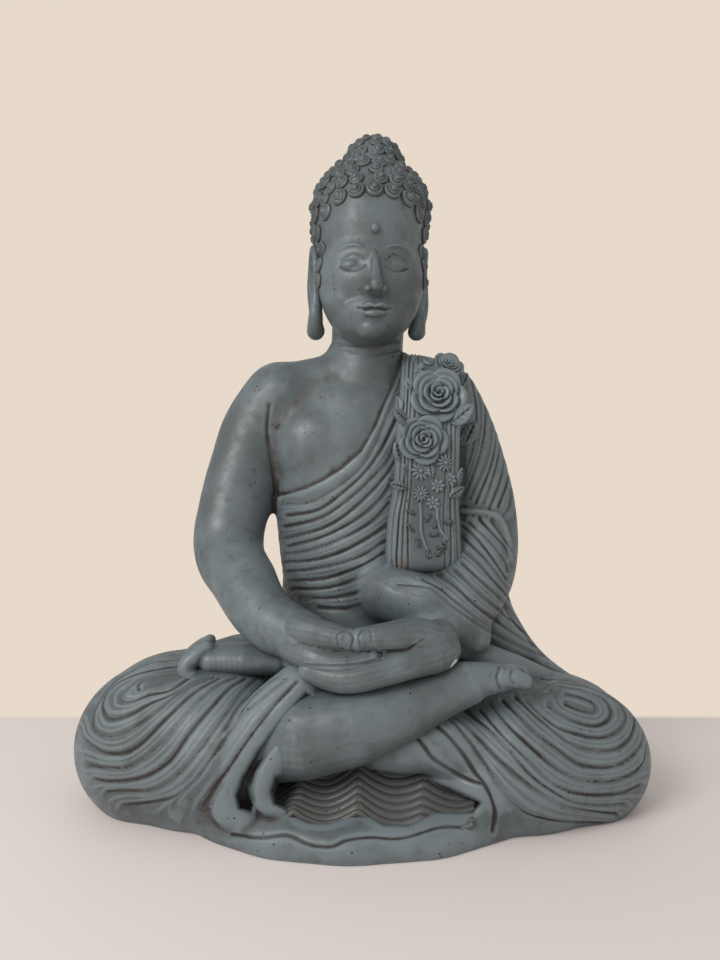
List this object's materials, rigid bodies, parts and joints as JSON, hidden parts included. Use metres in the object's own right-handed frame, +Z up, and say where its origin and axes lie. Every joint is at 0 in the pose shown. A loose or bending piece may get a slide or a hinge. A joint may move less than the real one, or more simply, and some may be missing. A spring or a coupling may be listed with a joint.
{
  "type": "seated figure statue",
  "caption": "Cast garden figure seated in meditation with crossed legs, hands in the lap, curled hair and a flowered sash over one shoulder.",
  "frame": {"origin": "middle of the footprint's bounding box, on the resting face", "axes": "+Z up; the figure faces -Y; +X is the viewer's right, the figure's left"},
  "size_m": [0.373, 0.2246, 0.464],
  "materials": {
    "robe_stone": "dry-brushed slate over dark brown",
    "skin_stone": "dry-brushed slate, smoother",
    "hair_stone": "dry-brushed slate, dark grooves",
    "flower_stone": "dry-brushed slate, dark grooves",
    "plate_stone": "plain cast underside",
    "dowel_steel": "plain"
  },
  "bodies": {
    "root": {"base_plate": "plate_stone", "seat_casting": "robe_stone", "right_leg_robe": "robe_stone", "left_leg_robe": "robe_stone", "front_apron": "robe_stone", "apron_folds": "robe_stone", "torso_casting": "skin_stone", "robe_wrap": "robe_stone", "right_shin": "skin_stone", "right_foot": "skin_stone", "left_foot": "skin_stone", "right_upper_arm": "skin_stone", "right_forearm": "skin_stone", "left_sleeve": "robe_stone", "left_forearm": "robe_stone", "sleeve_drape": "robe_stone", "right_hand": "skin_stone", "left_hand": "skin_stone", "neck_section": "skin_stone", "head_casting": "skin_stone", "forehead_bead": "skin_stone", "hair_cap": "hair_stone", "topknot": "hair_stone", "right_ear": "skin_stone", "left_ear": "skin_stone", "hair_curls": "hair_stone", "topknot_curls": "hair_stone", "sash_panel": "robe_stone", "small_flowers": "flower_stone", "sash_leaves": "flower_stone", "sash_vine": "flower_stone", "neck_dowel": "dowel_steel", "right_arm_dowel": "dowel_steel", "left_arm_dowel": "dowel_steel", "rose_top": "flower_stone", "rose_middle": "flower_stone", "rose_bottom": "flower_stone"}
  },
  "joints": []
}
